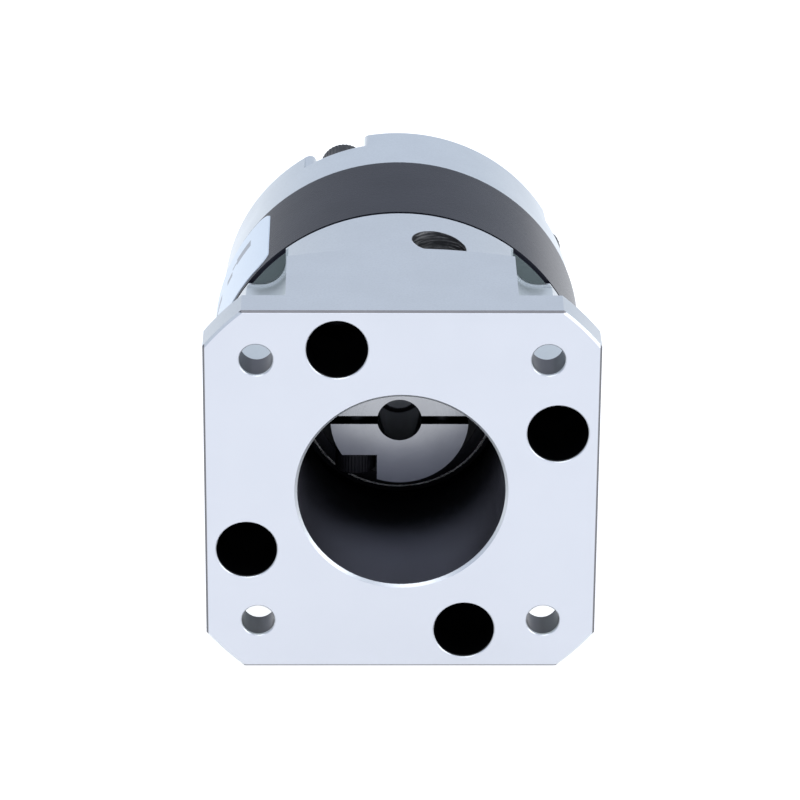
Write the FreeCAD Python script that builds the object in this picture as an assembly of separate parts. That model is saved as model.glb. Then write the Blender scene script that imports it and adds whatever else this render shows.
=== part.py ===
"""Inline planetary gear reducer for a 42 mm motor frame: one STEP file per piece.

The gear axis runs along +Y and +Z is up.  The origin is the centre of the motor face: the motor
bolts on at y = 0 and the output shaft leaves at the far end.  Lengths are millimetres.  Angles are
degrees about the gear axis, from +X towards +Z.
"""
import FreeCAD, Part
import math
import os

# Motor side
FRAME_SIDE = 42.3
CORNER_CLIP_RADIUS = 27.15
PLATE_THICKNESS = 4.3
EDGE_BREAK = 0.25
MOTOR_BOLT_SPACING = 31.0
MOTOR_BOLT_RADIUS = 1.8
PILOT_RADIUS = 11.2
PILOT_DEPTH = 17.6
PILOT_RELIEF = 0.2
PILOT_CHAMFER = 0.3
HOLE_RIM = 0.1
STEP_ROOT_Y = 17.4
STEP_SLOPE = 0.68
POCKET_RADIUS = 3.1
POCKET_LIP_HEIGHT = 0.3
POCKET_LIP_START = 27.2
ACCESS_RADIUS = 3.0
ACCESS_X = 4.25
ACCESS_Y = 20.15

# Stations along the gear axis
BODY_RADIUS = FRAME_SIDE / 2
ADAPTER_END = 27.6
RING_END = 43.6
HOUSING_END = 55.5
BOSS_END = 57.5
SHAFT_END = 77.5

# Spigots that centre the adapter and the housing in the ring gear
SPIGOT_RADIUS = 15.45
SPIGOT_SEAT_RADIUS = 15.5
FRONT_SPIGOT_END = 30.8
REAR_SPIGOT_START = 41.4
TEETH_START = 31.0
TEETH_END = 41.2
O_RING_SECTION = 0.5
O_RING_GROOVE_HALF_WIDTH = 0.6
FRONT_O_RING_Y = 29.1
REAR_O_RING_Y = 42.5

# Ring gear
JOINT_GROOVE_WIDTH = 0.5
JOINT_GROOVE_DEPTH = 0.4
RING_REAR_CHAMFER = 0.25

# Output housing
HOUSING_FRONT_RADIUS = 20.95
HOUSING_BACK_RADIUS = 20.4
HOUSING_EDGE_RADIUS = 1.0
HOUSING_FRONT_CHAMFER = 0.25
CARRIER_ROOM_RADIUS = 13.7
NOTCH_HALF_WIDTH = 3.05
NOTCH_SEAT = 50.9
NOTCH_MOUTH_ROUND = 1.0
OUTPUT_BOSS_RADIUS = 11.0
BOSS_CHAMFER = 0.3
OUTPUT_BOLT_CIRCLE_RADIUS = 16.0
OUTPUT_BOLT_RADIUS = 1.65
OUTPUT_BOLT_DEPTH = 8.0
OUTPUT_BOLT_ANGLE = 65.5

# Cap screws that hold the three casing sections together
M3_HEAD_RADIUS = 2.75
M3_HEAD_HEIGHT = 3.0
M3_KEY = 2.5
M3_SHANK_RADIUS = 1.45
M3_TAPPED_RADIUS = 1.5
M3_CLEAR_RADIUS = 1.7
ADAPTER_SCREW_CIRCLE_RADIUS = 18.05
ADAPTER_SCREW_ANGLE = 22.5
ADAPTER_SCREW_SEAT = 15.5
ADAPTER_SCREW_LENGTH = 18.0
COUNTERBORE_RADIUS = 3.3
OUTPUT_SCREW_CIRCLE_RADIUS = 17.8
OUTPUT_SCREW_ANGLE = 20.5
OUTPUT_SCREW_LENGTH = 14.0
TAPPED_HOLE_EXTRA = 0.9
KNURL_TEETH = 40
KNURL_DEPTH = 0.05
HEAD_EDGE_SHARE = 0.1

# Clamp hub on the motor shaft
HUB_RADIUS = 7.7
HUB_FRONT = 18.5
HUB_BACK = 23.6
MOTOR_SHAFT_RADIUS = 2.5
MOTOR_SHAFT_HOLE_END = 26.5
HUB_SHOULDER_RADIUS = 6.2
SLIT_WIDTH = 1.0
SLIT_END = 23.1
M25_HEAD_RADIUS = 2.25
M25_HEAD_HEIGHT = 2.5
M25_KEY = 2.0
M25_SHANK_RADIUS = 1.2
M25_HOLE_RADIUS = 1.25
CLAMP_SCREW_X = 4.9
CLAMP_SCREW_Y = 20.8
CLAMP_SCREW_SEAT_Z = 4.3
CLAMP_SCREW_LENGTH = 8.0
HEAD_ROOM = 0.15

# Gear train
MODULE = 0.6
PRESSURE_ANGLE = math.radians(25)
ADDENDUM = 0.85 * MODULE
DEDENDUM = 1.25 * MODULE
BACKLASH = 0.06
SUN_TEETH = 12
PLANET_TEETH = 18
RING_TEETH = SUN_TEETH + 2 * PLANET_TEETH
PLANETS = 3
FIRST_PLANET_ANGLE = 90.0
PLANET_CENTRE_RADIUS = MODULE * (SUN_TEETH + PLANET_TEETH) / 2
FLANK_POINTS = 5
SUN_END = 40.2
SUN_STEM_RADIUS = 2.25
SUN_STEM_START = 26.7
PLANET_START = 32.55
PLANET_END = 40.15
BUSH_RADIUS = 3.0
PIN_RADIUS = 2.0
BUSH_CLEARANCE = 0.04
WASHER_RADIUS = 4.2
WASHER_THICKNESS = 0.4

# Carrier and output shaft
CARRIER_PLATE_START = 31.1
CARRIER_PLATE_END = 32.1
CARRIER_PLATE_RADIUS = 13.2
CARRIER_PLATE_HOLE_RADIUS = 4.6
CARRIER_DISC_START = 40.6
CARRIER_DISC_END = 43.2
CARRIER_DISC_RADIUS = 13.2
SHAFT_SHOULDER_RADIUS = 6.0
JOURNAL_RADIUS = 5.0
JOURNAL_END = 57.0
OUTPUT_SHAFT_RADIUS = 4.0
SHAFT_CHAMFER = 0.5
FLAT_DEPTH = 0.5
FLAT_LENGTH = 9.0
CENTRE_DRILL_RADIUS = 1.0
CENTRE_DRILL_DEPTH = 2.5

# Bearings: bore radius, outer radius, width, ball radius, number of balls
INPUT_BEARING = (5.0, 11.0, 6.0, 1.5875, 9)
INPUT_BEARING_START = 24.0
INPUT_BEARING_LIP = 0.8
OUTPUT_BEARING_LIP = 0.8
CARRIER_ROOM_EXTRA = 0.1
JOURNAL_EXTRA = 0.2
OUTPUT_BEARING = (5.0, 9.5, 5.0, 1.19, 11)
INNER_OUTPUT_BEARING_START = 44.4
OUTER_OUTPUT_BEARING_START = 49.8
LAND_RATIO = 0.6
CAGE_RATIO = 0.3
BALL_CLEARANCE = 0.03
POCKET_CLEARANCE = 0.08
CAGE_SIDE_WALL = 0.5
SEAL_THICKNESS = 0.2
SEAL_RECESS = 0.15
SEAL_GAP = 0.2
SEAL_STEP = 0.45
BEARING_CHAMFER = 0.25

# Rings, seal and label
RETAINING_START = 54.9
RETAINING_END = 55.7
HOUSING_RING_OUTER = 10.0
HOUSING_RING_INNER = 8.5
SHAFT_RING_OUTER = 6.2
SHAFT_RING_INNER = 4.7
RING_MOUTH = 2.4
LUG_RADIUS = 0.8
LUG_HOLE_RADIUS = 0.35
SEAL_START = 55.9
SEAL_END = 57.3
SEAL_CLEARANCE = 0.05
SEAL_FACE_WIDTH = 2.2
SEAL_LIP_WIDTH = 1.0
SEAL_LIP_STEP = 0.3
SEAL_LIP_END = 0.8
LABEL_START = 28.8
LABEL_END = 42.8
LABEL_HALF_ANGLE = 46.0
LABEL_THICKNESS = 0.1
LABEL_CORNER_RADIUS = 1.5

ORIGIN = FreeCAD.Vector(0, 0, 0)
GEAR_AXIS = FreeCAD.Vector(0, 1, 0)
QUARTERS = (0, 90, 180, 270)
OVERCUT = 1.0
TINY = 0.001


# ---------------------------------------------------------------- shape helpers

def disc(radius, start, end, x=0.0, z=0.0):
    """Cylinder along the gear axis between two stations."""
    return Part.makeCylinder(radius, end - start, FreeCAD.Vector(x, start, z), GEAR_AXIS)


def tube(outer, inner, start, end, x=0.0, z=0.0):
    """Hollow cylinder along the gear axis."""
    return disc(outer, start, end, x, z).cut(disc(inner, start - OVERCUT, end + OVERCUT, x, z))


def cone(start_radius, end_radius, start, end, x=0.0, z=0.0):
    """Truncated cone along the gear axis."""
    place = FreeCAD.Vector(x, start, z)
    return Part.makeCone(start_radius, end_radius, end - start, place, GEAR_AXIS)


def box(low, high):
    """Box between two corners."""
    size = [high[i] - low[i] for i in range(3)]
    return Part.makeBox(size[0], size[1], size[2], FreeCAD.Vector(*low))


def turned(outline):
    """Solid of revolution about the gear axis from (radius, station) corners."""
    corners = [FreeCAD.Vector(radius, station, 0) for radius, station in outline]
    return Part.Face(Part.makePolygon(corners + corners[:1])).revolve(ORIGIN, GEAR_AXIS, 360)


def spun(shape, angle):
    """Copy turned about the gear axis, from +X towards +Z."""
    copy = shape.copy()
    copy.rotate(ORIGIN, GEAR_AXIS, -angle)
    return copy


def shifted(shape, x, y, z):
    """Copy moved along the three axes."""
    copy = shape.copy()
    copy.translate(FreeCAD.Vector(x, y, z))
    return copy


def polar(radius, angle):
    """X and Z of a point about the gear axis."""
    return radius * math.cos(math.radians(angle)), radius * math.sin(math.radians(angle))


def at_angles(shape, angles):
    """One copy of a shape for each angle about the gear axis."""
    return [spun(shape, angle) for angle in angles]


def fused(shapes):
    """One clean solid from shapes that touch or overlap."""
    return shapes[0].fuse(shapes[1:]).removeSplitter()


def without(shape, cutters):
    """Shape with every cutter taken out of it."""
    return shape.cut(Part.makeCompound(cutters))


def point(radius, angle, station=0.0):
    """Point about the gear axis, with the angle in radians."""
    return FreeCAD.Vector(radius * math.cos(angle), station, radius * math.sin(angle))


def prism(corners, start, end):
    """Solid along the gear axis from the corners of its outline."""
    outline = Part.makePolygon(corners + corners[:1])
    solid = Part.Face(outline).extrude(GEAR_AXIS * (end - start))
    return shifted(solid, 0, start, 0)


# ---------------------------------------------------------------- gear teeth

def involute(angle):
    """Involute function of a pressure angle in radians."""
    return math.tan(angle) - angle


def half_tooth_angle(radius, teeth, thickness):
    """Half the angle that one tooth fills at a radius, in radians."""
    pitch_radius = MODULE * teeth / 2
    base_radius = pitch_radius * math.cos(PRESSURE_ANGLE)
    local_pressure = math.acos(min(1.0, base_radius / radius))
    return thickness / (2 * pitch_radius) + involute(PRESSURE_ANGLE) - involute(local_pressure)


def arc_edge(radius, start_angle, end_angle):
    """Arc about the gear axis, with angles in radians."""
    middle_angle = (start_angle + end_angle) / 2
    ends = point(radius, start_angle), point(radius, middle_angle), point(radius, end_angle)
    return Part.Arc(*ends).toShape()


def flank_edges(teeth, low_radius, high_radius, thickness, centre, side):
    """One tooth flank from its low radius to its high one: a radial line, then the involute."""
    base_radius = MODULE * teeth / 2 * math.cos(PRESSURE_ANGLE)
    involute_start = max(low_radius, base_radius)
    radii = [
        involute_start + (high_radius - involute_start) * step / (FLANK_POINTS - 1)
        for step in range(FLANK_POINTS)
    ]
    points = [
        point(radius, centre + side * half_tooth_angle(radius, teeth, thickness))
        for radius in radii
    ]
    curve = Part.BSplineCurve()
    curve.interpolate(points)
    edges = [curve.toShape()]
    if low_radius < base_radius - TINY:
        foot = point(low_radius, centre + side * half_tooth_angle(base_radius, teeth, thickness))
        edges.insert(0, Part.LineSegment(foot, points[0]).toShape())
    return edges


def toothed_prism(teeth, low_radius, high_radius, thickness, first_angle, start, end):
    """Solid with involute teeth all round, one of them centred on the first angle."""
    edges = []
    pitch = 2 * math.pi / teeth
    foot_half = half_tooth_angle(low_radius, teeth, thickness)
    tip_half = half_tooth_angle(high_radius, teeth, thickness)
    for tooth in range(teeth):
        centre = math.radians(first_angle) + tooth * pitch
        edges += flank_edges(teeth, low_radius, high_radius, thickness, centre, -1)
        edges.append(arc_edge(high_radius, centre - tip_half, centre + tip_half))
        edges += flank_edges(teeth, low_radius, high_radius, thickness, centre, 1)
        edges.append(arc_edge(low_radius, centre + foot_half, centre + pitch - foot_half))
    outline = Part.Wire(Part.__sortEdges__(edges))
    solid = Part.Face(outline).extrude(GEAR_AXIS * (end - start))
    return shifted(solid, 0, start, 0)


def external_gear(teeth, first_angle, start, end):
    """Spur gear blank with its teeth."""
    pitch_radius = MODULE * teeth / 2
    thickness = math.pi * MODULE / 2 - BACKLASH
    return toothed_prism(
        teeth, pitch_radius - DEDENDUM, pitch_radius + ADDENDUM, thickness, first_angle, start, end)


# ---------------------------------------------------------------- fasteners

def cap_screw(head_radius, head_height, key, shank_radius, length):
    """Knurled socket cap screw along +Y, with the head's seat at the origin."""
    edge = HEAD_EDGE_SHARE * head_radius
    knurl = [
        point(head_radius - KNURL_DEPTH * (step % 2), math.pi * step / KNURL_TEETH)
        for step in range(2 * KNURL_TEETH)
    ]
    hexagon = [point(key / math.sqrt(3), math.pi * step / 3) for step in range(6)]
    head = prism(knurl, edge - head_height, 0)
    crown = cone(head_radius - edge, head_radius - KNURL_DEPTH, -head_height, edge - head_height)
    socket = prism(hexagon, -head_height - OVERCUT, -head_height / 2)
    shank = disc(shank_radius, -edge, length - edge)
    tip = cone(shank_radius, shank_radius - edge, length - edge, length)
    return fused([head, crown, shank, tip]).cut(socket)


def adapter_screws():
    """Four cap screws deep in the adapter's counterbores."""
    screw = cap_screw(
        M3_HEAD_RADIUS, M3_HEAD_HEIGHT, M3_KEY, M3_SHANK_RADIUS, ADAPTER_SCREW_LENGTH)
    placed = shifted(screw, ADAPTER_SCREW_CIRCLE_RADIUS, ADAPTER_SCREW_SEAT, 0)
    angles = [ADAPTER_SCREW_ANGLE + quarter for quarter in QUARTERS]
    return Part.makeCompound(at_angles(placed, angles))


def output_screws():
    """Four cap screws in the housing's open notches, heads towards the output."""
    screw = cap_screw(
        M3_HEAD_RADIUS, M3_HEAD_HEIGHT, M3_KEY, M3_SHANK_RADIUS, OUTPUT_SCREW_LENGTH)
    screw.rotate(ORIGIN, FreeCAD.Vector(1, 0, 0), 180)
    placed = shifted(screw, OUTPUT_SCREW_CIRCLE_RADIUS, NOTCH_SEAT, 0)
    angles = [OUTPUT_SCREW_ANGLE + quarter for quarter in QUARTERS]
    return Part.makeCompound(at_angles(placed, angles))


def clamp_screws():
    """Two cap screws across the hub's slit, one from below and one from above."""
    screw = cap_screw(
        M25_HEAD_RADIUS, M25_HEAD_HEIGHT, M25_KEY, M25_SHANK_RADIUS, CLAMP_SCREW_LENGTH)
    screw.rotate(ORIGIN, FreeCAD.Vector(1, 0, 0), 90)
    lower = shifted(screw, -CLAMP_SCREW_X, CLAMP_SCREW_Y, -CLAMP_SCREW_SEAT_Z)
    return Part.makeCompound([lower, spun(lower, 180)])


# ---------------------------------------------------------------- casing

def pocket_stretch(radius, start, end):
    """Stretch of a corner pocket: a round inner corner about the bolt's axis, open outwards."""
    bolt = MOTOR_BOLT_SPACING / 2
    wall = bolt - radius
    round_corner = disc(radius, start, end, bolt, bolt)
    outward_x = box((bolt, start, wall), (FRAME_SIDE, end, FRAME_SIDE))
    outward_z = box((wall, start, bolt), (FRAME_SIDE, end, FRAME_SIDE))
    return fused([round_corner, outward_x, outward_z])


def corner_pocket():
    """Open pocket behind one corner of the plate, with a small lip left at its far end."""
    lip_radius = POCKET_RADIUS - POCKET_LIP_HEIGHT
    main = pocket_stretch(POCKET_RADIUS, PLATE_THICKNESS, POCKET_LIP_START)
    past_lip = pocket_stretch(lip_radius, PLATE_THICKNESS, ADAPTER_END + OVERCUT)
    return fused([main, past_lip])


def square_body():
    """Square section behind the plate, with its rear end turned to a cone down to the round rear."""
    half = FRAME_SIDE / 2
    square = box((-half, PLATE_THICKNESS, -half), (half, STEP_ROOT_Y, half))
    step_start = STEP_ROOT_Y - STEP_SLOPE * (CORNER_CLIP_RADIUS - BODY_RADIUS)
    turned_outside = turned([
        (0, 0),
        (CORNER_CLIP_RADIUS, 0),
        (CORNER_CLIP_RADIUS, step_start),
        (BODY_RADIUS, STEP_ROOT_Y),
        (0, STEP_ROOT_Y),
    ])
    return square.common(turned_outside)


def hole_with_rim(radius, depth, x, z, rim=HOLE_RIM):
    """Cutter for a hole from the motor face with a small bevelled mouth."""
    hole = disc(radius, -OVERCUT, depth, x, z)
    mouth = cone(radius + rim, radius, 0, rim, x, z)
    return fused([hole, mouth])


def front_plate():
    """Square plate with clipped corners and a bevelled front edge."""
    half = FRAME_SIDE / 2
    square = box((-half, 0, -half), (half, PLATE_THICKNESS, half))
    plate = square.common(disc(CORNER_CLIP_RADIUS, 0, PLATE_THICKNESS))
    front_edges = [edge for edge in plate.Edges if edge.BoundBox.YMax < TINY]
    return plate.makeChamfer(EDGE_BREAK, front_edges)


def motor_adapter():
    """Front casing: the motor's pilot and the input bearing share a bore, relieved between them."""
    bolt = MOTOR_BOLT_SPACING / 2
    bearing_end = INPUT_BEARING_START + INPUT_BEARING[2]
    solid = fused([
        front_plate(),
        square_body(),
        disc(BODY_RADIUS, STEP_ROOT_Y, ADAPTER_END),
        disc(SPIGOT_RADIUS, ADAPTER_END, FRONT_SPIGOT_END),
    ])
    groove = tube(
        SPIGOT_RADIUS + OVERCUT, SPIGOT_RADIUS - 2 * O_RING_SECTION,
        FRONT_O_RING_Y - O_RING_GROOVE_HALF_WIDTH, FRONT_O_RING_Y + O_RING_GROOVE_HALF_WIDTH)
    cutters = at_angles(corner_pocket(), QUARTERS)
    cutters += [
        hole_with_rim(PILOT_RADIUS, PILOT_DEPTH, 0, 0, PILOT_CHAMFER),
        disc(PILOT_RADIUS + PILOT_RELIEF, PILOT_DEPTH, INPUT_BEARING_START),
        disc(INPUT_BEARING[1], INPUT_BEARING_START, bearing_end),
        disc(INPUT_BEARING[1] - INPUT_BEARING_LIP, 0, FRONT_SPIGOT_END + OVERCUT),
        groove,
        Part.makeCylinder(ACCESS_RADIUS, FRAME_SIDE, FreeCAD.Vector(ACCESS_X, ACCESS_Y, 0)),
    ]
    for quarter in QUARTERS:
        x, z = polar(bolt * math.sqrt(2), 45 + quarter)
        cutters.append(hole_with_rim(MOTOR_BOLT_RADIUS, PLATE_THICKNESS + OVERCUT, x, z))
        x, z = polar(ADAPTER_SCREW_CIRCLE_RADIUS, ADAPTER_SCREW_ANGLE + quarter)
        cutters.append(hole_with_rim(COUNTERBORE_RADIUS, ADAPTER_SCREW_SEAT, x, z))
        cutters.append(disc(M3_CLEAR_RADIUS, 0, ADAPTER_END + OVERCUT, x, z))
    for cutter in cutters:
        solid = solid.cut(cutter)
    return solid


def ring_gear():
    """Round middle casing with the internal teeth and tapped holes at both ends."""
    pitch_radius = MODULE * RING_TEETH / 2
    tip_radius = pitch_radius - ADDENDUM
    blank = turned([
        (SPIGOT_SEAT_RADIUS, ADAPTER_END),
        (BODY_RADIUS - JOINT_GROOVE_DEPTH, ADAPTER_END),
        (BODY_RADIUS - JOINT_GROOVE_DEPTH, ADAPTER_END + JOINT_GROOVE_WIDTH),
        (BODY_RADIUS, ADAPTER_END + JOINT_GROOVE_WIDTH),
        (BODY_RADIUS, RING_END - RING_REAR_CHAMFER),
        (BODY_RADIUS - RING_REAR_CHAMFER, RING_END),
        (SPIGOT_SEAT_RADIUS, RING_END),
        (SPIGOT_SEAT_RADIUS, TEETH_END),
        (tip_radius - OVERCUT, TEETH_END),
        (tip_radius - OVERCUT, TEETH_START),
        (SPIGOT_SEAT_RADIUS, TEETH_START),
    ])
    space_width = math.pi * MODULE / 2 + BACKLASH
    half_pitch = 180 / RING_TEETH
    spaces = toothed_prism(
        RING_TEETH, tip_radius, pitch_radius + DEDENDUM, space_width,
        FIRST_PLANET_ANGLE + half_pitch, TEETH_START - OVERCUT, TEETH_END + OVERCUT)
    solid = blank.cut(spaces)
    front_hole_end = ADAPTER_SCREW_SEAT + ADAPTER_SCREW_LENGTH + TAPPED_HOLE_EXTRA
    rear_hole_end = NOTCH_SEAT - OUTPUT_SCREW_LENGTH - TAPPED_HOLE_EXTRA
    holes = []
    for quarter in QUARTERS:
        x, z = polar(ADAPTER_SCREW_CIRCLE_RADIUS, ADAPTER_SCREW_ANGLE + quarter)
        holes.append(disc(M3_TAPPED_RADIUS, ADAPTER_END - OVERCUT, front_hole_end, x, z))
        x, z = polar(OUTPUT_SCREW_CIRCLE_RADIUS, OUTPUT_SCREW_ANGLE + quarter)
        holes.append(disc(M3_TAPPED_RADIUS, rear_hole_end, RING_END + OVERCUT, x, z))
    return without(solid, holes)


def housing_blank():
    """Tapered outside of the output housing with its spigot and pilot boss, before the bores."""
    blank = turned([
        (0, REAR_SPIGOT_START),
        (SPIGOT_RADIUS, REAR_SPIGOT_START),
        (SPIGOT_RADIUS, RING_END),
        (HOUSING_FRONT_RADIUS - HOUSING_FRONT_CHAMFER, RING_END),
        (HOUSING_FRONT_RADIUS, RING_END + HOUSING_FRONT_CHAMFER),
        (HOUSING_BACK_RADIUS, HOUSING_END),
        (OUTPUT_BOSS_RADIUS, HOUSING_END),
        (OUTPUT_BOSS_RADIUS, BOSS_END - BOSS_CHAMFER),
        (OUTPUT_BOSS_RADIUS - BOSS_CHAMFER, BOSS_END),
        (0, BOSS_END),
    ])
    rim = [
        edge for edge in blank.Edges
        if abs(edge.BoundBox.XMax - HOUSING_BACK_RADIUS) < TINY
        and edge.BoundBox.YMin > HOUSING_END - TINY
    ]
    return blank.makeFillet(HOUSING_EDGE_RADIUS, rim)


def screw_notch():
    """Open notch for one cap screw head, before it is turned, with rounded corners at its mouth."""
    centre = OUTPUT_SCREW_CIRCLE_RADIUS
    end = HOUSING_END + OVERCUT
    half = NOTCH_HALF_WIDTH
    wide = half + NOTCH_MOUTH_ROUND
    rim = math.sqrt(HOUSING_BACK_RADIUS ** 2 - wide ** 2)
    foot = rim - NOTCH_MOUTH_ROUND
    bulge = NOTCH_MOUTH_ROUND * math.sin(math.radians(45))

    def corner(x, z):
        return FreeCAD.Vector(x, NOTCH_SEAT, z)

    def mouth_arc(side):
        return Part.Arc(
            corner(foot, side * half), corner(foot + bulge, side * (wide - bulge)),
            corner(rim, side * wide)).toShape()

    straights = [
        (corner(centre, -half), corner(foot, -half)),
        (corner(rim, -wide), corner(FRAME_SIDE, -wide)),
        (corner(FRAME_SIDE, -wide), corner(FRAME_SIDE, wide)),
        (corner(FRAME_SIDE, wide), corner(rim, wide)),
        (corner(foot, half), corner(centre, half)),
        (corner(centre, half), corner(centre, -half)),
    ]
    edges = [Part.LineSegment(*ends).toShape() for ends in straights]
    outline = Part.Wire(Part.__sortEdges__(edges + [mouth_arc(-1), mouth_arc(1)]))
    outward = Part.Face(outline).extrude(GEAR_AXIS * (end - NOTCH_SEAT))
    return fused([disc(half, NOTCH_SEAT, end, centre), outward])


def output_housing():
    """Rear casing: bearing bore, carrier room, screw notches, output bolt holes, pilot boss."""
    outer_radius = OUTPUT_BEARING[1]
    spacer_land = outer_radius - OUTPUT_BEARING_LIP
    groove = tube(
        HOUSING_RING_OUTER, outer_radius - OVERCUT, RETAINING_START, RETAINING_END)
    o_ring_groove = tube(
        SPIGOT_RADIUS + OVERCUT, SPIGOT_RADIUS - 2 * O_RING_SECTION,
        REAR_O_RING_Y - O_RING_GROOVE_HALF_WIDTH, REAR_O_RING_Y + O_RING_GROOVE_HALF_WIDTH)
    cutters = [
        disc(CARRIER_ROOM_RADIUS, REAR_SPIGOT_START - OVERCUT, RING_END + CARRIER_ROOM_EXTRA),
        disc(spacer_land, RING_END, BOSS_END),
        disc(outer_radius, INNER_OUTPUT_BEARING_START, BOSS_END + OVERCUT),
        groove,
        o_ring_groove,
    ]
    cutters += at_angles(screw_notch(), [OUTPUT_SCREW_ANGLE + quarter for quarter in QUARTERS])
    for quarter in QUARTERS:
        x, z = polar(OUTPUT_SCREW_CIRCLE_RADIUS, OUTPUT_SCREW_ANGLE + quarter)
        cutters.append(disc(M3_CLEAR_RADIUS, RING_END - OVERCUT, HOUSING_END, x, z))
        x, z = polar(OUTPUT_BOLT_CIRCLE_RADIUS, OUTPUT_BOLT_ANGLE + quarter)
        cutters.append(disc(
            OUTPUT_BOLT_RADIUS, HOUSING_END - OUTPUT_BOLT_DEPTH, HOUSING_END + OVERCUT, x, z))
    solid = housing_blank()
    for cutter in cutters:
        solid = solid.cut(cutter)
    return solid


def o_ring(station):
    """O-ring in its groove on a spigot."""
    return Part.makeTorus(
        SPIGOT_SEAT_RADIUS - O_RING_SECTION, O_RING_SECTION,
        FreeCAD.Vector(0, station, 0), GEAR_AXIS)


def rating_label():
    """Thin sticker on the left of the ring gear, with rounded corners and no lettering."""
    shell = tube(BODY_RADIUS + LABEL_THICKNESS, BODY_RADIUS, LABEL_START, LABEL_END)
    half_height = BODY_RADIUS * math.sin(math.radians(LABEL_HALF_ANGLE))
    window = box((-FRAME_SIDE, LABEL_START, -half_height), (0, LABEL_END, half_height))
    corners = [edge for edge in window.Edges if edge.BoundBox.XLength > FRAME_SIDE / 2]
    return shell.common(window.makeFillet(LABEL_CORNER_RADIUS, corners))


# ---------------------------------------------------------------- input

def clamp_hub():
    """Split hub that grips the motor shaft, with its journal for the input bearing."""
    bearing_end = INPUT_BEARING_START + INPUT_BEARING[2]
    solid = fused([
        disc(HUB_RADIUS, HUB_FRONT, HUB_BACK),
        disc(HUB_SHOULDER_RADIUS, HUB_BACK, INPUT_BEARING_START),
        disc(INPUT_BEARING[0], INPUT_BEARING_START, bearing_end + JOURNAL_EXTRA),
    ])
    half_slit = SLIT_WIDTH / 2
    slit = box(
        (-HUB_RADIUS - OVERCUT, HUB_FRONT - OVERCUT, -half_slit),
        (HUB_RADIUS + OVERCUT, SLIT_END, half_slit))
    room = M25_HEAD_RADIUS + HEAD_ROOM
    head_seat = box(
        (-CLAMP_SCREW_X - room, HUB_FRONT - OVERCUT, -HUB_RADIUS - OVERCUT),
        (-CLAMP_SCREW_X + room, CLAMP_SCREW_Y + room, -CLAMP_SCREW_SEAT_Z))
    screw_hole = Part.makeCylinder(
        M25_HOLE_RADIUS, 2 * HUB_RADIUS, FreeCAD.Vector(-CLAMP_SCREW_X, CLAMP_SCREW_Y, -HUB_RADIUS))
    lower = fused([head_seat, screw_hole])
    cutters = [
        disc(MOTOR_SHAFT_RADIUS, HUB_FRONT - OVERCUT, MOTOR_SHAFT_HOLE_END),
        disc(SUN_STEM_RADIUS, MOTOR_SHAFT_HOLE_END - OVERCUT, TEETH_START),
        slit,
        lower,
        spun(lower, 180),
    ]
    for cutter in cutters:
        solid = solid.cut(cutter)
    return solid


def sun_gear():
    """Sun pinion with the stem that is pressed into the hub."""
    teeth = external_gear(SUN_TEETH, FIRST_PLANET_ANGLE, TEETH_START, SUN_END)
    stem = disc(SUN_STEM_RADIUS, SUN_STEM_START, TEETH_START + OVERCUT)
    return teeth.fuse(stem)


# ---------------------------------------------------------------- planets and carrier

def planet_gear(index):
    """Planet in mesh with the sun and the ring: a tooth gap faces each of them."""
    teeth = external_gear(PLANET_TEETH, 0, PLANET_START, PLANET_END)
    gear = teeth.cut(disc(BUSH_RADIUS, PLANET_START - OVERCUT, PLANET_END + OVERCUT))
    return planet_place(gear, index)


def planet_bush(index):
    """Bronze bush pressed into a planet."""
    bush = tube(BUSH_RADIUS, PIN_RADIUS + BUSH_CLEARANCE, PLANET_START, PLANET_END)
    return planet_place(bush, index)


def planet_place(shape, index):
    """Copy of a shape from the gear axis to one planet's place."""
    above = shifted(shape, 0, 0, PLANET_CENTRE_RADIUS)
    return spun(above, index * 360 / PLANETS)


def at_planets(shape):
    """Group with one copy of a shape at each planet."""
    return Part.makeCompound([planet_place(shape, index) for index in range(PLANETS)])


def planet_pins():
    """Pins pressed into the carrier plate and the carrier disc."""
    return at_planets(disc(PIN_RADIUS, CARRIER_PLATE_START, CARRIER_DISC_END))


def planet_washers(start):
    """Thrust washers on the pins, on one side of the planets."""
    return at_planets(
        tube(WASHER_RADIUS, PIN_RADIUS + BUSH_CLEARANCE, start, start + WASHER_THICKNESS))


def carrier_front_plate():
    """Plate that holds the pins' front ends, with room for the sun to pass through."""
    plate = tube(
        CARRIER_PLATE_RADIUS, CARRIER_PLATE_HOLE_RADIUS, CARRIER_PLATE_START, CARRIER_PLATE_END)
    return plate.cut(planet_pins())


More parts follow.
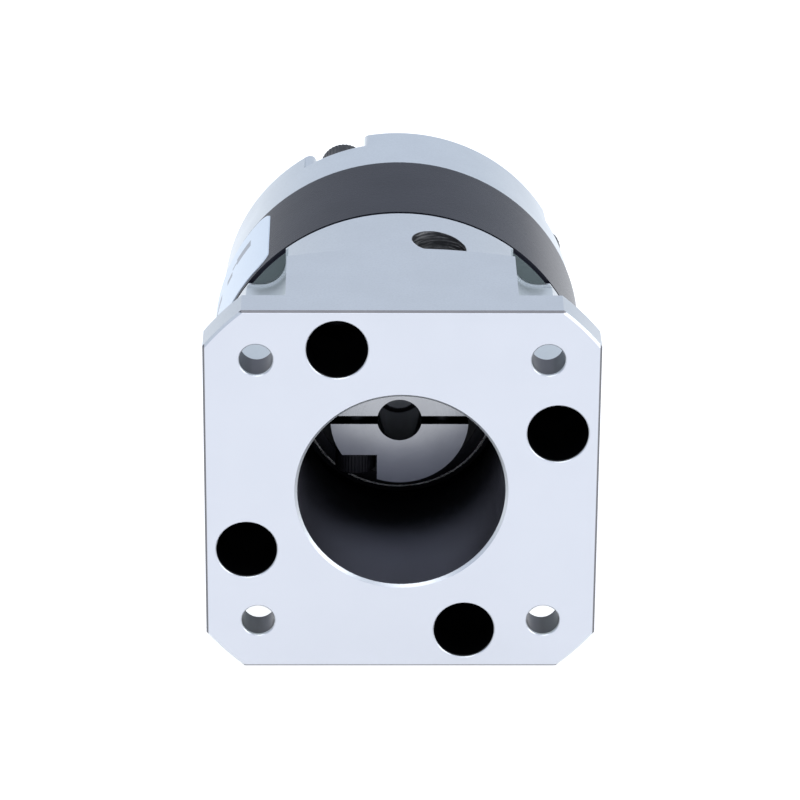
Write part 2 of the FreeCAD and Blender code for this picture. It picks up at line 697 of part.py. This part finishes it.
def output_shaft():
    """Carrier disc, bearing journal and output shaft with a flat, in one piece."""
    shaft = turned([
        (0, CARRIER_DISC_START),
        (CARRIER_DISC_RADIUS, CARRIER_DISC_START),
        (CARRIER_DISC_RADIUS, CARRIER_DISC_END),
        (SHAFT_SHOULDER_RADIUS, CARRIER_DISC_END),
        (SHAFT_SHOULDER_RADIUS, INNER_OUTPUT_BEARING_START),
        (JOURNAL_RADIUS, INNER_OUTPUT_BEARING_START),
        (JOURNAL_RADIUS, RETAINING_START),
        (SHAFT_RING_INNER, RETAINING_START),
        (SHAFT_RING_INNER, RETAINING_END),
        (JOURNAL_RADIUS, RETAINING_END),
        (JOURNAL_RADIUS, JOURNAL_END),
        (OUTPUT_SHAFT_RADIUS, JOURNAL_END),
        (OUTPUT_SHAFT_RADIUS, SHAFT_END - SHAFT_CHAMFER),
        (OUTPUT_SHAFT_RADIUS - SHAFT_CHAMFER, SHAFT_END),
        (0, SHAFT_END),
    ])
    flat = box(
        (-OUTPUT_SHAFT_RADIUS, SHAFT_END - FLAT_LENGTH, OUTPUT_SHAFT_RADIUS - FLAT_DEPTH),
        (OUTPUT_SHAFT_RADIUS, SHAFT_END + OVERCUT, OUTPUT_SHAFT_RADIUS + OVERCUT))
    centre = cone(0, CENTRE_DRILL_RADIUS, SHAFT_END - CENTRE_DRILL_DEPTH, SHAFT_END)
    return shaft.cut(flat).cut(centre).cut(planet_pins())


# ---------------------------------------------------------------- bearings, rings and seal

def bearing_sizes(bearing):
    """Pitch radius and the radii of the two lands of a ball bearing."""
    bore_radius, outer_radius, _, ball_radius, _ = bearing
    pitch_radius = (bore_radius + outer_radius) / 2
    land = LAND_RATIO * ball_radius
    return pitch_radius, pitch_radius - land, pitch_radius + land


def outer_ring(outer, land, start, end):
    """Bearing outer ring before its groove: chamfered outside, stepped inside for the seals."""
    step = SEAL_RECESS + SEAL_THICKNESS
    seat = land + SEAL_STEP
    return turned([
        (seat, start),
        (outer - BEARING_CHAMFER, start),
        (outer, start + BEARING_CHAMFER),
        (outer, end - BEARING_CHAMFER),
        (outer - BEARING_CHAMFER, end),
        (seat, end),
        (seat, end - step),
        (land, end - step),
        (land, start + step),
        (seat, start + step),
    ])


def bearing_pieces(name, bearing, start):
    """Outer ring, inner ring, balls, cage and seals of one ball bearing, by node name."""
    bore_radius, outer_radius, width, ball_radius, ball_count = bearing
    pitch_radius, inner_land, outer_land = bearing_sizes(bearing)
    end = start + width
    middle = FreeCAD.Vector(0, start + width / 2, 0)
    groove = Part.makeTorus(pitch_radius, ball_radius + BALL_CLEARANCE, middle, GEAR_AXIS)
    first_ball = FreeCAD.Vector(pitch_radius, middle.y, 0)
    ball_angles = [360 / ball_count * ball for ball in range(ball_count)]
    balls = at_angles(Part.makeSphere(ball_radius, first_ball), ball_angles)
    pocket = Part.makeCylinder(
        ball_radius + POCKET_CLEARANCE, outer_radius, FreeCAD.Vector(0, middle.y, 0),
        FreeCAD.Vector(1, 0, 0))
    cage_half = ball_radius + CAGE_SIDE_WALL
    cage_wall = CAGE_RATIO * ball_radius
    cage = tube(
        pitch_radius + cage_wall, pitch_radius - cage_wall,
        middle.y - cage_half, middle.y + cage_half)
    seal_starts = (start + SEAL_RECESS, end - SEAL_RECESS - SEAL_THICKNESS)
    seals = [
        tube(outer_land + SEAL_STEP, inner_land + SEAL_GAP, seal_start, seal_start + SEAL_THICKNESS)
        for seal_start in seal_starts
    ]
    return {
        name + "_outer_ring": outer_ring(outer_radius, outer_land, start, end).cut(groove),
        name + "_inner_ring": tube(inner_land, bore_radius, start, end).cut(groove),
        name + "_balls": Part.makeCompound(balls),
        name + "_cage": without(cage, at_angles(pocket, ball_angles)),
        name + "_seals": Part.makeCompound(seals),
    }


def bearing_spacer():
    """Thin ring that keeps the outer rings of the two output bearings apart."""
    start = INNER_OUTPUT_BEARING_START + OUTPUT_BEARING[2]
    outer_land = bearing_sizes(OUTPUT_BEARING)[2]
    return tube(OUTPUT_BEARING[1], outer_land, start, OUTER_OUTPUT_BEARING_START)


def retaining_ring(inner, outer, lug_centre):
    """Open spring ring with two drilled lugs beside its mouth, at the top."""
    ring = tube(outer, inner, RETAINING_START, RETAINING_END)
    half_mouth = RING_MOUTH / 2
    mouth = box(
        (-half_mouth, RETAINING_START - OVERCUT, 0),
        (half_mouth, RETAINING_END + OVERCUT, outer + OVERCUT))
    lug_x = half_mouth + LUG_RADIUS
    lugs = []
    holes = []
    for side in (-1, 1):
        lugs.append(disc(LUG_RADIUS, RETAINING_START, RETAINING_END, side * lug_x, lug_centre))
        holes.append(disc(
            LUG_HOLE_RADIUS, RETAINING_START - OVERCUT, RETAINING_END + OVERCUT,
            side * lug_x, lug_centre))
    return without(fused([ring.cut(mouth)] + lugs), holes)


def shaft_seal():
    """Lip seal in the pilot boss, just clear of the journal."""
    outer = OUTPUT_BEARING[1]
    lip = JOURNAL_RADIUS + SEAL_CLEARANCE
    return turned([
        (outer, SEAL_START),
        (outer, SEAL_END),
        (lip + SEAL_FACE_WIDTH, SEAL_END),
        (lip + SEAL_LIP_WIDTH, SEAL_END - SEAL_LIP_STEP),
        (lip, SEAL_END - SEAL_LIP_STEP),
        (lip, SEAL_END - SEAL_LIP_END),
        (lip + SEAL_LIP_WIDTH, SEAL_START + SEAL_LIP_STEP),
        (lip + SEAL_FACE_WIDTH, SEAL_START),
    ])


# ---------------------------------------------------------------- all pieces

def all_pieces():
    """Every piece of the reducer by node name."""
    pieces = {
        "motor_adapter": motor_adapter(),
        "adapter_screws": adapter_screws(),
        "front_o_ring": o_ring(FRONT_O_RING_Y),
        "clamp_hub": clamp_hub(),
        "clamp_screws": clamp_screws(),
        "sun_gear": sun_gear(),
        "ring_gear": ring_gear(),
        "rating_label": rating_label(),
        "planet_pins": planet_pins(),
        "front_thrust_washers": planet_washers(CARRIER_PLATE_END),
        "rear_thrust_washers": planet_washers(CARRIER_DISC_START - WASHER_THICKNESS),
        "carrier_front_plate": carrier_front_plate(),
        "output_shaft": output_shaft(),
        "bearing_spacer": bearing_spacer(),
        "housing_retaining_ring": retaining_ring(
            HOUSING_RING_INNER, HOUSING_RING_OUTER, HOUSING_RING_INNER - LUG_RADIUS / 2),
        "shaft_retaining_ring": retaining_ring(
            SHAFT_RING_INNER, SHAFT_RING_OUTER, SHAFT_RING_OUTER - LUG_RADIUS / 2),
        "shaft_seal": shaft_seal(),
        "rear_o_ring": o_ring(REAR_O_RING_Y),
        "output_housing": output_housing(),
        "output_screws": output_screws(),
    }
    for index in range(PLANETS):
        pieces[f"planet_gear_{index + 1}"] = planet_gear(index)
        pieces[f"planet_bush_{index + 1}"] = planet_bush(index)
    pieces.update(bearing_pieces("input_bearing", INPUT_BEARING, INPUT_BEARING_START))
    pieces.update(
        bearing_pieces("inner_output_bearing", OUTPUT_BEARING, INNER_OUTPUT_BEARING_START))
    pieces.update(
        bearing_pieces("outer_output_bearing", OUTPUT_BEARING, OUTER_OUTPUT_BEARING_START))
    return pieces


os.makedirs("parts", exist_ok=True)
for node, shape in all_pieces().items():
    shape.exportStep(f"parts/{node}.step")
    print(node, len(shape.Solids), round(shape.Volume, 2), shape.isValid())
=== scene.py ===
"""Looks of the inline gear reducer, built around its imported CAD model. Lengths are metres.

The gear axis runs along +Y from the motor face at y = 0, and +Z is up.
"""
import math

import bpy
from mathutils import Matrix, Vector


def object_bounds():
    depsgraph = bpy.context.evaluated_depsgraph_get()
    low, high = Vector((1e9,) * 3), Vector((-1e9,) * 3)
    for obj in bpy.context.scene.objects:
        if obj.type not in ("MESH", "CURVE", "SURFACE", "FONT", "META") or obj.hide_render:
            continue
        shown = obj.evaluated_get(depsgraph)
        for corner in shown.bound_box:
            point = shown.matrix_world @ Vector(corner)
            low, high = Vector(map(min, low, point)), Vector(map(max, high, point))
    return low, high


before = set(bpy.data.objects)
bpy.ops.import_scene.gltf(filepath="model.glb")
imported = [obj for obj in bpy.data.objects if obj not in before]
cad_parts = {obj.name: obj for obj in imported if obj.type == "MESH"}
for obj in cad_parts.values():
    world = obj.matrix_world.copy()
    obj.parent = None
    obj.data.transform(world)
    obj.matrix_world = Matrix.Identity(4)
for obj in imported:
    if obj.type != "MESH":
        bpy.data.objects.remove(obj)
cad_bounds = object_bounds()

MM = 0.001

# Camera: a long lens, above the gear axis and in front of the motor face
CAMERA_PLACE = Vector((-5.71, -391.9, 189.7)) * MM
CAMERA_AIM = Vector((-0.22, 0.0, 10.9)) * MM
CAMERA_ROLL = math.radians(0.38)
CAMERA_LENS = 182.5
SENSOR_WIDTH = 36.0

# Brightness of the surroundings by height, from the horizon at 0 to overhead at 1
SKY = (
    (0.0, (0.80, 0.86, 0.95, 1.0)),
    (0.35, (0.69, 0.76, 0.92, 1.0)),
    (0.6, (0.68, 0.75, 0.90, 1.0)),
    (1.0, (0.78, 0.82, 0.92, 1.0)),
)

# Sizes on the object that its materials follow
HALF_SIDE = 21.15 * MM
BORE_RADIUS = 11.2 * MM
BORE_RELIEF = 0.2 * MM
BEARING_RADIUS = 11.0 * MM
HOLE_CIRCLE = 18.05 * MM
HOLE_ANGLE = 22.5
HOLE_RADIUS = 3.3 * MM
SEAT = 15.5 * MM
POCKET_WALL = 12.4 * MM
PLATE_BACK = 4.3 * MM
BOLT_CIRCLE = 15.5 * MM * math.sqrt(2)
BOLT_HOLE_RADIUS = 1.8 * MM
ACCESS_PLACE = (4.25 * MM, 20.15 * MM)
ACCESS_RADIUS = 3.0 * MM
RING_FACE = 27.6 * MM
LABEL_RADIUS = 21.25 * MM
HUB_FACE = 18.5 * MM
LINE_BLUR = 0.02 * MM
FACE_SKIN = 0.05 * MM
FACE_EDGE = 0.4 * MM
WALL_MARGIN = 0.1 * MM
CORNER_WIDTH = 0.3 * MM
BORE_SHADE_START = 3 * MM
BORE_SHADE_END = 26 * MM
EDGE_LINE_DEPTH = 0.28 * MM
EDGE_LINE_WIDTH = 0.22 * MM
POCKET_ROUGHNESS = 0.12

# Shared colours and strengths of the metals
WHITE = (1.0, 1.0, 1.0, 1.0)
SPECK_BUMP = 0.0000012
LINE_BUMP = 0.000001
MARK_BUMP = 0.0000006
GRAIN_BUMP = 0.000004
OXIDE_BUMP = 0.000002
TURNING_SCALE = 9000.0

# Studio
CLIP_NEAR = 0.01
CLIP_FAR = 20.0
FLOOR_SIZE = 6.0
GLOW_NEAR, GLOW_FAR = 0.3, 0.9
GLOW_START, GLOW_END = 0.78, 0.35
LIGHT_AIM = (0, 0.03, 0)

# Grey bars on the label: low and high edge round the ring, then low and high edge along it
LABEL_BARS = (
    (10.9, 13.8, 38.3, 40.0),
    (9.8, 10.9, 38.9, 39.4),
    (8.4, 9.8, 37.4, 38.6),
    (-13.5, 6.5, 37.6, 39.2),
    (-13.5, 3.5, 35.2, 35.8),
    (-13.5, 5.0, 33.6, 34.2),
    (-13.5, 1.0, 32.0, 32.6),
)


# ---------------------------------------------------------------- node helpers

class Shade:
    """One material and short names for adding nodes to it."""

    def __init__(self, name, **values):
        self.material = bpy.data.materials.new(name)
        self.material.use_nodes = True
        self.tree = self.material.node_tree
        self.shader = self.tree.nodes["Principled BSDF"]
        for key, value in values.items():
            self.shader.inputs[key.replace("_", " ")].default_value = value
        self.place = self.node("ShaderNodeTexCoord").outputs["Object"]
        axes = self.node("ShaderNodeSeparateXYZ")
        self.join(self.place, axes.inputs[0])
        self.x, self.y, self.z = axes.outputs

    def node(self, kind, **settings):
        """A new node with its plain settings."""
        node = self.tree.nodes.new(kind)
        for key, value in settings.items():
            setattr(node, key, value)
        return node

    def join(self, source, socket):
        """Link an output, or set a plain value, on an input socket."""
        if isinstance(source, bpy.types.NodeSocket):
            self.tree.links.new(source, socket)
        else:
            socket.default_value = source

    def maths(self, operation, first, second=0.0):
        """Result of one maths operation."""
        node = self.node("ShaderNodeMath", operation=operation)
        self.join(first, node.inputs[0])
        self.join(second, node.inputs[1])
        return node.outputs[0]

    def ramp(self, value, low, high, start=0.0, end=1.0):
        """Value mapped smoothly from low..high to start..end, held outside."""
        node = self.node("ShaderNodeMapRange", interpolation_type="SMOOTHSTEP")
        for source, socket in zip((value, low, high, start, end), node.inputs):
            self.join(source, socket)
        return node.outputs[0]

    def both(self, *masks):
        """Mask that is 1 only where all the masks are."""
        result = masks[0]
        for mask in masks[1:]:
            result = self.maths("MULTIPLY", result, mask)
        return result

    def either(self, *masks):
        """Mask that is 1 where any of the masks is."""
        result = masks[0]
        for mask in masks[1:]:
            result = self.maths("MAXIMUM", result, mask)
        return result

    def above(self, value, limit, blur=0.05 * MM):
        """Mask that is 1 where the value is over the limit."""
        return self.ramp(value, limit - blur, limit + blur)

    def below(self, value, limit, blur=0.05 * MM):
        """Mask that is 1 where the value is under the limit."""
        return self.ramp(value, limit - blur, limit + blur, 1.0, 0.0)

    def distance(self, first, second, first_centre=0.0, second_centre=0.0):
        """Distance from a line, across two of the axes."""
        one = self.maths("SUBTRACT", first, first_centre)
        other = self.maths("SUBTRACT", second, second_centre)
        squares = self.maths("ADD", self.both(one, one), self.both(other, other))
        return self.maths("SQRT", squares)

    def noise(self, scale, detail=3.0, stretch=(1.0, 1.0, 1.0), distortion=0.0):
        """Noise from 0 to 1 at a scale in cells a metre, stretched along the axes."""
        mapping = self.node("ShaderNodeMapping")
        self.join(self.place, mapping.inputs["Vector"])
        mapping.inputs["Scale"].default_value = stretch
        node = self.node("ShaderNodeTexNoise")
        self.join(mapping.outputs[0], node.inputs["Vector"])
        node.inputs["Scale"].default_value = scale
        node.inputs["Detail"].default_value = detail
        node.inputs["Distortion"].default_value = distortion
        return node.outputs["Fac"]

    def mix(self, factor, first, second):
        """Mix of two colours."""
        node = self.node("ShaderNodeMix", data_type="RGBA")
        self.join(factor, node.inputs["Factor"])
        colours = [socket for socket in node.inputs if socket.type == "RGBA"]
        for source, socket in zip((first, second), colours):
            self.join(source, socket)
        return [socket for socket in node.outputs if socket.type == "RGBA"][0]

    def bump(self, height, distance):
        """Bump normal from a height."""
        node = self.node("ShaderNodeBump")
        node.inputs["Distance"].default_value = distance
        self.join(height, node.inputs["Height"])
        return node.outputs[0]

    def finish(self, colour, roughness, normal=None):
        """Link what varies to the shader and give the material back."""
        self.join(colour, self.shader.inputs["Base Color"])
        self.join(roughness, self.shader.inputs["Roughness"])
        if normal is not None:
            self.join(normal, self.shader.inputs["Normal"])
        return self.material


def rgb(red, green, blue):
    """Colour with full alpha."""
    return (red, green, blue, 1.0)


def darker(colour, factor):
    """Colour at a fraction of its brightness."""
    return rgb(*[factor * part for part in colour[:3]])


# ---------------------------------------------------------------- materials

def satin_aluminium(shade, colour):
    """Tint and gloss of fine satin aluminium: a grain of small specks over faint clouds."""
    specks = shade.noise(4200, 2.0)
    cloud = shade.noise(180, 4.0)
    tint = shade.mix(shade.ramp(cloud, 0.3, 0.7), colour, darker(colour, 0.965))
    tint = shade.mix(shade.ramp(specks, 0.35, 0.75, 0.0, 0.5), tint, darker(colour, 0.88))
    rough = shade.ramp(cloud, 0.3, 0.7, 0.36, 0.40)
    return tint, rough, shade.bump(specks, SPECK_BUMP)


def housing_aluminium():
    """Output housing."""
    shade = Shade("housing_aluminium", Metallic=1.0)
    return shade.finish(*satin_aluminium(shade, rgb(0.66, 0.70, 0.73)))


def adapter_aluminium():
    """Motor adapter: satin outside, with painted shade in its deep bores and holes, and painted shade
    with light streaks over the drilling marks in the key access.
    """
    shade = Shade("adapter_aluminium", Metallic=1.0)
    tint, rough, normal = satin_aluminium(shade, rgb(0.66, 0.69, 0.71))
    # Motor face in a cooler, darker copy of the tint: painted reflection of the surroundings and
    # painted shade
    tint = shade.mix(shade.below(shade.y, FACE_SKIN, LINE_BLUR), tint, rgb(0.59, 0.61, 0.66))
    behind_face = shade.above(shade.y, FACE_EDGE)
    in_square = shade.below(shade.y, SEAT + 2 * WALL_MARGIN)

    # Pilot bore: painted shade, darker the deeper it goes, which also dims its reflections
    from_axis = shade.distance(shade.x, shade.z)
    bore = shade.both(behind_face, shade.below(from_axis, BORE_RADIUS + 1.5 * BORE_RELIEF))
    depth = shade.ramp(shade.y, BORE_SHADE_START, BORE_SHADE_END)
    bore_painted_shade = shade.mix(depth, rgb(0.29, 0.29, 0.34), rgb(0.008, 0.008, 0.010))
    tint = shade.mix(bore, tint, bore_painted_shade)
    bore_painted_shade_gloss = shade.mix(shade.both(bore, depth), WHITE, rgb(0.3, 0.3, 0.3))
    shade.join(bore_painted_shade_gloss, shade.shader.inputs["Specular Tint"])

    # Screw counterbores and motor bolt holes, filled with painted shade
    counterbores = []
    bolt_holes = []
    for quarter in range(4):
        angle = math.radians(HOLE_ANGLE + 90 * quarter)
        x, z = HOLE_CIRCLE * math.cos(angle), HOLE_CIRCLE * math.sin(angle)
        from_hole = shade.distance(shade.x, shade.z, x, z)
        counterbores.append(shade.below(from_hole, HOLE_RADIUS + WALL_MARGIN))
        angle = math.radians(45 + 90 * quarter)
        x, z = BOLT_CIRCLE * math.cos(angle), BOLT_CIRCLE * math.sin(angle)
        from_hole = shade.distance(shade.x, shade.z, x, z)
        bolt_holes.append(shade.below(from_hole, BOLT_HOLE_RADIUS + WALL_MARGIN))
    tint = shade.mix(
        shade.both(behind_face, in_square, shade.either(*counterbores)), tint, rgb(0.02, 0.02, 0.024))
    tint = shade.mix(shade.both(behind_face, shade.either(*bolt_holes)), tint, rgb(0.10, 0.10, 0.11))

    # Key access: painted shade in the hole, with its rough drilling marks drawn as streaks of painted
    # highlight
    from_hole = shade.distance(shade.x, shade.y, *ACCESS_PLACE)
    access = shade.both(shade.below(from_hole, ACCESS_RADIUS + FACE_SKIN), shade.above(shade.z, 0.0))
    streaks = shade.noise(1600, 4.0, (0.25, 0.25, 2.2), 0.6)
    access_shade_streaks = shade.mix(shade.ramp(streaks, 0.45, 0.7), rgb(0.22, 0.22, 0.23), WHITE)
    tint = shade.mix(access, tint, access_shade_streaks)

    # Corner pockets, left rough by the cutter
    across, upward = shade.maths("ABSOLUTE", shade.x), shade.maths("ABSOLUTE", shade.z)
    nearest, widest = shade.maths("MINIMUM", across, upward), shade.maths("MAXIMUM", across, upward)
    pocket = shade.both(
        shade.above(nearest, POCKET_WALL - WALL_MARGIN), shade.below(widest, HALF_SIDE - WALL_MARGIN),
        shade.above(shade.y, PLATE_BACK), shade.below(shade.y, RING_FACE - 5 * WALL_MARGIN))
    tint = shade.mix(pocket, tint, rgb(0.66, 0.70, 0.71))
    rough = shade.maths("ADD", rough, shade.maths("MULTIPLY", pocket, POCKET_ROUGHNESS))

    # Dark line along the front edges of the plate
    edge = shade.both(
        shade.below(shade.y, EDGE_LINE_DEPTH, LINE_BLUR),
        shade.above(widest, HALF_SIDE - EDGE_LINE_WIDTH, LINE_BLUR))
    tint = shade.mix(edge, tint, rgb(0.16, 0.16, 0.17))
    return shade.finish(tint, rough, normal)


def blackened_steel():
    """Ring gear: dark slate outside with fine turning lines, bare greenish steel at its ends."""
    shade = Shade("blackened_steel", Metallic=0.0, Specular_IOR_Level=0.15)
    lines = shade.noise(600, 2.0, (0.02, 60.0, 0.02))
    cloud = shade.noise(150, 3.0)
    tint = shade.mix(shade.ramp(cloud, 0.3, 0.7), rgb(0.010, 0.011, 0.018), rgb(0.014, 0.015, 0.023))
    bare = shade.below(shade.y, RING_FACE + FACE_SKIN)
    tint = shade.mix(bare, tint, rgb(0.12, 0.145, 0.145))
    rough = shade.ramp(lines, 0.3, 0.7, 0.25, 0.31)
    return shade.finish(tint, rough, shade.bump(lines, LINE_BUMP))


def label_film():
    """White printed film with plain grey bars in place of its printing."""
    shade = Shade("label_film", Metallic=0.0, Coat_Weight=0.15, Coat_Roughness=0.3)
    fibre = shade.noise(3000, 2.0)
    tint = shade.mix(shade.ramp(fibre, 0.3, 0.7), rgb(0.62, 0.70, 0.78), rgb(0.60, 0.68, 0.76))
    angle = shade.maths("ARCTAN2", shade.z, shade.maths("MULTIPLY", shade.x, -1.0))
    around = shade.maths("MULTIPLY", angle, LABEL_RADIUS)
    bars = []
    for low, high, start, end in LABEL_BARS:
        bars.append(shade.both(
            shade.above(around, low * MM), shade.below(around, high * MM),
            shade.above(shade.y, start * MM), shade.below(shade.y, end * MM)))
    tint = shade.mix(shade.either(*bars), tint, rgb(0.25, 0.27, 0.31))
    return shade.finish(tint, 0.42, shade.bump(fibre, LINE_BUMP))


def black_oxide():
    """Black oxide of the cap screws: near black, slightly glossy on the knurl."""
    shade = Shade("black_oxide", Metallic=0.6)
    cloud = shade.noise(900, 3.0)
    tint = shade.mix(shade.ramp(cloud, 0.3, 0.7), rgb(0.009, 0.009, 0.011), rgb(0.018, 0.018, 0.022))
    return shade.finish(tint, shade.ramp(cloud, 0.3, 0.7, 0.36, 0.5), shade.bump(cloud, OXIDE_BUMP))


def turned_steel(name, colour, roughness, shaded_behind=None):
    """Steel with faint turning marks round the gear axis, with near-black painted shade behind a
    station if one is given.
    """
    shade = Shade(name, Metallic=1.0)
    rings = shade.node("ShaderNodeTexNoise", noise_dimensions="1D")
    shade.join(shade.distance(shade.x, shade.z), rings.inputs["W"])
    rings.inputs["Scale"].default_value = TURNING_SCALE
    rings.inputs["Detail"].default_value = 2.0
    marks = rings.outputs["Fac"]
    cloud = shade.noise(300, 3.0)
    tint = shade.mix(shade.ramp(cloud, 0.3, 0.7), colour, darker(colour, 0.92))
    if shaded_behind is not None:
        # Painted shade of the deep bore on the part behind the station
        behind = shade.above(shade.y, shaded_behind + WALL_MARGIN)
        tint = shade.mix(behind, tint, rgb(0.02, 0.02, 0.022))
    rough = shade.ramp(marks, 0.3, 0.7, roughness - 0.03, roughness + 0.04)
    return shade.finish(tint, rough, shade.bump(marks, MARK_BUMP))


def bearing_ring():
    """Outer ring of the input bearing: near black as painted shade of the bore, with a painted
    highlight on its outer corner.
    """
    shade = Shade("bearing_ring", Metallic=1.0)
    # Painted highlight on the outer corner over painted shade on the rest
    corner = shade.above(shade.distance(shade.x, shade.z), BEARING_RADIUS - CORNER_WIDTH)
    tint = shade.mix(corner, rgb(0.05, 0.05, 0.055), rgb(1.0, 0.98, 0.95))
    return shade.finish(tint, shade.ramp(corner, 0.0, 1.0, 0.25, 0.7))


def bronze():
    """Sintered bronze: warm and slightly porous."""
    shade = Shade("bronze", Metallic=1.0)
    pores = shade.noise(5000, 3.0)
    tint = shade.mix(shade.ramp(pores, 0.35, 0.65), rgb(0.42, 0.26, 0.11), rgb(0.60, 0.39, 0.18))
    return shade.finish(tint, shade.ramp(pores, 0.3, 0.7, 0.34, 0.5), shade.bump(pores, GRAIN_BUMP))


def seal_rubber():
    """Black nitrile rubber."""
    shade = Shade("seal_rubber", Metallic=0.0)
    grain = shade.noise(4000, 3.0)
    tint = shade.mix(shade.ramp(grain, 0.3, 0.7), rgb(0.012, 0.012, 0.013), rgb(0.022, 0.022, 0.024))
    return shade.finish(tint, shade.ramp(grain, 0.3, 0.7, 0.5, 0.65), shade.bump(grain, GRAIN_BUMP))


def dress(material, *nodes):
    """Give CAD nodes a material in every slot."""
    for name in nodes:
        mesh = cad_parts[name].data
        if not mesh.materials:
            mesh.materials.append(material)
        for index in range(len(mesh.materials)):
            mesh.materials[index] = material


def dress_all():
    """Materials of every CAD node."""
    dress(adapter_aluminium(), "motor_adapter")
    dress(housing_aluminium(), "output_housing")
    dress(blackened_steel(), "ring_gear")
    dress(label_film(), "rating_label")
    dress(black_oxide(), "adapter_screws", "output_screws", "clamp_screws")
    dress(turned_steel("hub_steel", rgb(0.38, 0.385, 0.40), 0.23, HUB_FACE), "clamp_hub")
    gear_steel = turned_steel("gear_steel", rgb(0.45, 0.46, 0.48), 0.32)
    dress(gear_steel, "sun_gear")
    bronze_look = bronze()
    dress(bronze_look, "front_thrust_washers", "rear_thrust_washers")
    for index in (1, 2, 3):
        dress(gear_steel, f"planet_gear_{index}")
        dress(bronze_look, f"planet_bush_{index}")
    shaft_steel = turned_steel("shaft_steel", rgb(0.56, 0.57, 0.59), 0.28)
    dress(shaft_steel, "output_shaft", "carrier_front_plate")
    spring_steel = turned_steel("spring_steel", rgb(0.14, 0.14, 0.15), 0.36)
    dress(spring_steel, "housing_retaining_ring", "shaft_retaining_ring")
    rubber = seal_rubber()
    dress(rubber, "shaft_seal", "front_o_ring", "rear_o_ring")
    bearing_steel = turned_steel("bearing_steel", rgb(0.60, 0.61, 0.64), 0.22)
    dress(bearing_steel, "planet_pins", "bearing_spacer")
    brass = turned_steel("cage_brass", rgb(0.66, 0.48, 0.22), 0.3)
    for bearing in ("input_bearing", "inner_output_bearing", "outer_output_bearing"):
        dress(bearing_steel, f"{bearing}_outer_ring", f"{bearing}_inner_ring", f"{bearing}_balls")
        dress(brass, f"{bearing}_cage")
        dress(rubber, f"{bearing}_seals")
    dress(bearing_ring(), "input_bearing_outer_ring")


# ---------------------------------------------------------------- studio

def make_camera():
    """Camera at the studio's viewing angle."""
    data = bpy.data.cameras.new("camera")
    data.lens = CAMERA_LENS
    data.sensor_width = SENSOR_WIDTH
    data.clip_start = CLIP_NEAR
    data.clip_end = CLIP_FAR
    camera = bpy.data.objects.new("camera", data)
    bpy.context.scene.collection.objects.link(camera)
    look = (CAMERA_AIM - CAMERA_PLACE).to_track_quat("-Z", "Y").to_matrix().to_4x4()
    camera.matrix_world = Matrix.Translation(CAMERA_PLACE) @ look @ Matrix.Rotation(CAMERA_ROLL, 4, "Z")
    bpy.context.scene.camera = camera


def soft_light(name, place, aim, size, power):
    """Square soft box that points at a place."""
    data = bpy.data.lights.new(name, "AREA")
    data.shape = "SQUARE"
    data.size = size
    data.energy = power
    light = bpy.data.objects.new(name, data)
    bpy.context.scene.collection.objects.link(light)
    look = (Vector(aim) - Vector(place)).to_track_quat("-Z", "Y").to_matrix().to_4x4()
    light.matrix_world = Matrix.Translation(Vector(place)) @ look


def make_world():
    """Soft surroundings: whitest near the horizon, a cooler and dimmer band above it."""
    world = bpy.data.worlds.new("studio")
    world.use_nodes = True
    nodes, links = world.node_tree.nodes, world.node_tree.links
    direction = nodes.new("ShaderNodeTexCoord").outputs["Generated"]
    axes = nodes.new("ShaderNodeSeparateXYZ")
    links.new(direction, axes.inputs[0])
    ramp = nodes.new("ShaderNodeValToRGB")
    links.new(axes.outputs["Z"], ramp.inputs["Fac"])
    stops = ramp.color_ramp.elements
    for (height, colour), stop in zip(SKY, [stops[0], stops[1], stops.new(0.5), stops.new(0.9)]):
        stop.position = height
        stop.color = colour
    links.new(ramp.outputs["Color"], nodes["Background"].inputs["Color"])
    bpy.context.scene.world = world


def make_floor():
    """Pale floor, lit from within a little so that it stays white under the object."""
    bpy.ops.mesh.primitive_plane_add(size=FLOOR_SIZE, location=(0, 0, cad_bounds[0][2]))
    floor = bpy.context.object
    floor.name = "floor"
    shade = Shade("floor_paper", Metallic=0.0, Emission_Color=rgb(0.98, 0.99, 1.0))
    spread = shade.distance(shade.x, shade.y)
    glow = shade.ramp(spread, GLOW_NEAR, GLOW_FAR, GLOW_START, GLOW_END)
    shade.join(glow, shade.shader.inputs["Emission Strength"])
    floor.data.materials.append(shade.finish(rgb(0.5, 0.5, 0.5), 0.8))


def make_studio():
    """Pale floor, soft surroundings and large soft lights."""
    bpy.context.scene.view_settings.view_transform = "Standard"
    make_world()
    make_floor()
    soft_light("key_light", (0.9, -0.25, 0.45), LIGHT_AIM, 0.7, 3.0)
    soft_light("top_light", (-0.2, -0.3, 1.1), LIGHT_AIM, 0.9, 4.0)


dress_all()
make_studio()
make_camera()
